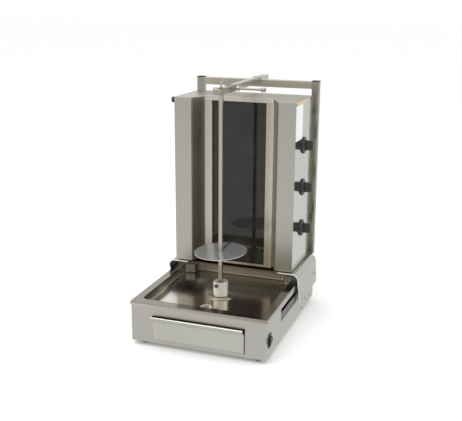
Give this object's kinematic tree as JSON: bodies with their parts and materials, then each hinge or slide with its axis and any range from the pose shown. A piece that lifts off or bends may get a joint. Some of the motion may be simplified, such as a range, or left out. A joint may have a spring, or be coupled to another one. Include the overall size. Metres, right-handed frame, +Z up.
{
  "type": "doner kebab grill",
  "caption": "Upright electric doner kebab grill: a driven vertical spit in a drip tray base with a drawer, before a sliding heater housing with a glass front and a top bearing arm.",
  "frame": {"origin": "on the table, under the middle of the whole grill", "axes": "+X to the right as seen from the drawer side, +Y to the back, +Z up"},
  "size_m": [0.496, 0.707, 0.861],
  "materials": {
    "sheet": "fine brushed stainless sheet",
    "tray": "polished stainless, worn by use",
    "tube": "satin stainless tube",
    "bright": "turned and polished steel",
    "spit_steel": "ground stainless bar",
    "zinc": "zinc plated inner steel",
    "motor_paint": "dark machine paint",
    "black_plastic": "black moulded plastic",
    "black_gloss": "glossy black moulded plastic",
    "rubber": "black rubber",
    "glass": "dark tinted heat glass",
    "plate_plain": "bare printed-film plates, one white and one yellow",
    "board": "pressed ceramic fibre board",
    "coil": "oxidised sheathed heater rod",
    "bronze": "sintered bronze"
  },
  "bodies": {
    "base": {"base_casing": "sheet", "base_floor": "zinc", "feet": "rubber", "drip_tray": "tray", "drain_ring": "tray", "side_screws": "bright", "vent_grilles": "sheet", "switch_housing": "black_plastic", "drawer_runners": "zinc", "terminal_block": "black_plastic", "cable_gland": "black_plastic", "gearbox": "zinc", "motor": "motor_paint", "motor_bracket": "zinc", "hub_flange": "tray", "flange_screws": "bright", "shaft_seal": "rubber"},
    "drawer": {"drawer_front": "sheet", "drawer_pan": "zinc"},
    "spindle": {"output_shaft": "zinc", "drive_hub": "bright", "hub_bolt": "bright", "spit": "spit_steel"},
    "disc": {"meat_disc": "bright"},
    "pin": {"disc_pin": "bright"},
    "carriage": {"saddle": "sheet", "guide_studs": "zinc", "guide_rollers": "black_plastic", "housing_bottom": "sheet", "housing_top": "sheet", "cheek_right": "sheet", "cheek_left": "sheet", "side_panel_right": "sheet", "side_panel_left": "sheet", "rear_panel": "sheet", "panel_screws": "bright", "glass_frame": "sheet", "glass_panel": "glass", "glass_clips": "zinc", "heater_pan": "zinc", "insulation_boards": "board", "heater_coils": "coil", "regulators": "black_plastic", "bare_plates": "plate_plain", "posts": "tube", "post_caps": "black_plastic", "post_stays": "tube", "crossbar": "tube"},
    "arm": {"arm_tube": "tube", "yoke": "spit_steel", "hinge_pin": "bright"},
    "bearing": {"bearing_block": "spit_steel", "bearing_bush": "bronze"},
    "lock": {"lock_screw": "black_plastic"},
    "clamp": {"clamp_screw": "black_plastic"},
    "thumb": {"thumb_screw": "black_plastic"},
    "knob_low": {"knob_bottom": "black_gloss"},
    "knob_mid": {"knob_middle": "black_gloss"},
    "knob_high": {"knob_top": "black_gloss"},
    "switch_rocker": {"rocker": "black_gloss"}
  },
  "joints": [
    {"name": "drawer_slide", "type": "slide", "parent": "base", "child": "drawer", "axis": [0, -1, 0], "range_m": [0, 0.13]},
    {"name": "spit_spin", "type": "hinge", "parent": "base", "child": "spindle", "pos_m": [-0.0025, -0.1185, 0.15], "axis": [0, 0, 1], "continuous": true},
    {"name": "disc_lift", "type": "slide", "parent": "spindle", "child": "disc", "axis": [0, 0, 1], "range_m": [0, 0.3]},
    {"name": "pin_pull", "type": "slide", "parent": "spindle", "child": "pin", "axis": [1, 0, 0], "range_m": [0, 0.034]},
    {"name": "carriage_slide", "type": "slide", "parent": "base", "child": "carriage", "axis": [0, 1, 0], "range_m": [-0.06, 0.01]},
    {"name": "arm_slide", "type": "slide", "parent": "carriage", "child": "arm", "axis": [0, 1, 0], "range_m": [-0.01, 0.06]},
    {"name": "bearing_flip", "type": "hinge", "parent": "arm", "child": "bearing", "pos_m": [-0.0025, -0.0375, 0.814], "axis": [-1, 0, 0], "range_deg": [0, 80]},
    {"name": "lock_screw_turn", "type": "hinge", "parent": "bearing", "child": "lock", "pos_m": [-0.0175, -0.1185, 0.817], "axis": [1, 0, 0], "continuous": true},
    {"name": "clamp_screw_turn", "type": "hinge", "parent": "arm", "child": "clamp", "pos_m": [0.0475, 0.0005, 0.8101], "axis": [1, 0, 0], "continuous": true},
    {"name": "thumb_screw_turn", "type": "hinge", "parent": "carriage", "child": "thumb", "pos_m": [-0.2175, 0.0135, 0.761], "axis": [1, 0, 0], "continuous": true},
    {"name": "knob_bottom_turn", "type": "hinge", "parent": "carriage", "child": "knob_low", "pos_m": [0.2225, 0.1115, 0.321], "axis": [-1, 0, 0], "range_deg": [0, 270]},
    {"name": "knob_middle_turn", "type": "hinge", "parent": "carriage", "child": "knob_mid", "pos_m": [0.2225, 0.1115, 0.468], "axis": [-1, 0, 0], "range_deg": [0, 270]},
    {"name": "knob_top_turn", "type": "hinge", "parent": "carriage", "child": "knob_high", "pos_m": [0.2225, 0.1115, 0.615], "axis": [-1, 0, 0], "range_deg": [0, 270]},
    {"name": "switch_rock", "type": "hinge", "parent": "base", "child": "switch_rocker", "pos_m": [0.2165, -0.2995, 0.069], "axis": [0, -1, 0], "range_deg": [0, 16]}
  ],
  "couplings": [
    {"joint": "arm_slide", "follows": "carriage_slide", "ratio": -1}
  ]
}
